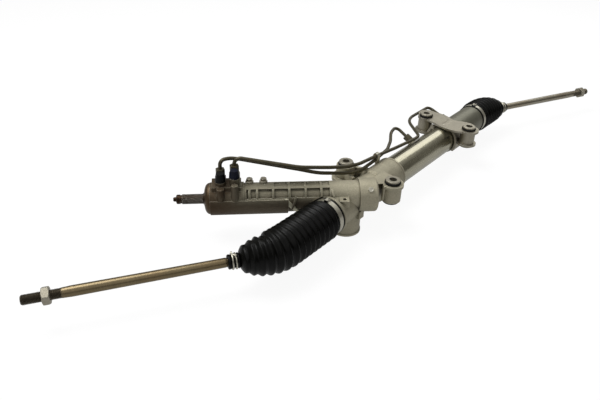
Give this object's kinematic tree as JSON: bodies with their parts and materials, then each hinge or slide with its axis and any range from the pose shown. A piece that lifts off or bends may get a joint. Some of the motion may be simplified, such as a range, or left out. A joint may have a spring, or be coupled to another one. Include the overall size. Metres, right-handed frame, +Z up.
{
  "type": "steering rack",
  "caption": "Power-assisted rack-and-pinion steering gear: ribbed cast valve tower, plated cylinder, bellows boots, threaded tie rods and rubber-bushed mounts.",
  "frame": {"origin": "centre of the four mounting bolts' pattern, on the rack's own axis", "axes": "+X along the rack towards the hydraulic cylinder, +Z up along the mounting bolts, +Y towards the side that the valve tower leaves on"},
  "size_m": [1.287, 0.3397, 0.1328],
  "materials": {
    "cast_aluminium": "as-cast, sand-textured",
    "machined_aluminium": "fine turned, matte",
    "zinc_tube": "bright zinc plate over drawn steel",
    "zinc_bracket": "satin zinc plate",
    "bush_rubber": "moulded",
    "boot_rubber": "moulded, slight gloss",
    "seal_rubber": "moulded",
    "rod_steel": "turned, lightly oiled",
    "gear_steel": "ground",
    "bearing_steel": "ground",
    "pipe_steel": "dark olive conversion coat",
    "clip_steel": "pressed strip",
    "cover_steel": "brown-tinted satin",
    "black_cap": "moulded",
    "blue_cap": "moulded",
    "bearing_plastic": "low-friction moulding"
  },
  "bodies": {
    "housing": {"pinion_housing": "cast_aluminium", "cylinder_tube": "zinc_tube", "cylinder_end_housing": "machined_aluminium", "tube_port_boss": "zinc_tube", "inner_rack_seal": "seal_rubber", "outer_rack_seal": "seal_rubber", "rack_end_bush": "bearing_plastic", "mounting_bracket": "zinc_bracket", "bush_sleeve_tower_outer": "zinc_bracket", "bush_sleeve_tower_inner": "zinc_bracket", "bush_sleeve_cylinder_outer": "zinc_bracket", "bush_sleeve_cylinder_inner": "zinc_bracket", "bush_rubber_tower_outer": "bush_rubber", "bush_rubber_tower_inner": "bush_rubber", "bush_rubber_cylinder_outer": "bush_rubber", "bush_rubber_cylinder_inner": "bush_rubber", "rack_yoke": "machined_aluminium", "yoke_spring": "bearing_steel", "yoke_adjuster": "zinc_bracket", "pinion_lower_bearing": "bearing_steel", "pinion_upper_bearing": "bearing_steel", "lower_bearing_cap": "zinc_bracket", "input_shaft_seal": "seal_rubber", "input_shaft_bearing": "bearing_steel", "valve_end_cover": "cover_steel", "short_transfer_pipe": "pipe_steel", "long_transfer_pipe": "pipe_steel", "flare_nuts": "pipe_steel", "pipe_clip": "clip_steel", "port_plug_feed": "black_cap", "port_plug_return": "blue_cap", "boot_left": "boot_rubber", "boot_right": "boot_rubber", "boot_clamp_large_left": "clip_steel", "boot_clamp_large_right": "clip_steel"},
    "pinion": {"pinion_shaft": "gear_steel", "pinion_nut": "gear_steel", "valve_sleeve": "bearing_steel", "torsion_bar": "gear_steel"},
    "input": {"input_shaft": "gear_steel"},
    "rack": {"rack_bar": "gear_steel", "piston": "machined_aluminium", "piston_ring": "bearing_plastic", "ball_socket_left": "gear_steel", "ball_socket_right": "gear_steel", "lock_washer_left": "gear_steel", "lock_washer_right": "gear_steel"},
    "seat_left": {"ball_seat_left": "bearing_plastic"},
    "seat_right": {"ball_seat_right": "bearing_plastic"},
    "clamp_left": {"boot_clamp_small_left": "clip_steel"},
    "clamp_right": {"boot_clamp_small_right": "clip_steel"},
    "rod_left": {"tie_rod_left": "rod_steel", "jam_nut_left": "rod_steel"},
    "rod_right": {"tie_rod_right": "rod_steel", "jam_nut_right": "rod_steel"}
  },
  "joints": [
    {"name": "rack_slide", "type": "slide", "parent": "housing", "child": "rack", "axis": [1, 0, 0], "range_m": [-0.039, 0.111], "deforming": ["boot_left", "boot_right"]},
    {"name": "pinion_turn", "type": "hinge", "parent": "housing", "child": "pinion", "pos_m": [-0.2, 0, 0.01693], "axis": [-0.7071, 0.7071, 0], "range_deg": [-875, 310]},
    {"name": "input_twist", "type": "hinge", "parent": "pinion", "child": "input", "pos_m": [-0.2, 0, 0.01693], "axis": [-0.7071, 0.7071, 0], "range_deg": [-4, 4], "stiffness_Nm_per_rad": 80, "deforming": ["torsion_bar"]},
    {"name": "left_ball_swing", "type": "hinge", "parent": "rack", "child": "seat_left", "pos_m": [-0.379, 0, 0], "axis": [0, 0, 1], "range_deg": [-2.5, 65.5]},
    {"name": "left_ball_nod", "type": "hinge", "parent": "seat_left", "child": "clamp_left", "pos_m": [-0.379, 0, 0], "axis": [-0.5225, -0.8526, 0], "range_deg": [-12, 12]},
    {"name": "left_rod_spin", "type": "hinge", "parent": "clamp_left", "child": "rod_left", "pos_m": [-0.379, 0, 0], "axis": [-0.8526, 0.5225, 0], "continuous": true},
    {"name": "right_ball_swing", "type": "hinge", "parent": "rack", "child": "seat_right", "pos_m": [0.321, 0, 0], "axis": [0, 0, 1], "range_deg": [-9.6, 58.4]},
    {"name": "right_ball_nod", "type": "hinge", "parent": "seat_right", "child": "clamp_right", "pos_m": [0.321, 0, 0], "axis": [0.4131, 0.9107, 0], "range_deg": [-12, 12]},
    {"name": "right_rod_spin", "type": "hinge", "parent": "clamp_right", "child": "rod_right", "pos_m": [0.321, 0, 0], "axis": [0.9107, -0.4131, 0], "continuous": true}
  ],
  "couplings": [
    {"joint": "pinion_turn", "follows": "rack_slide", "rad_per_m": -136.61}
  ]
}
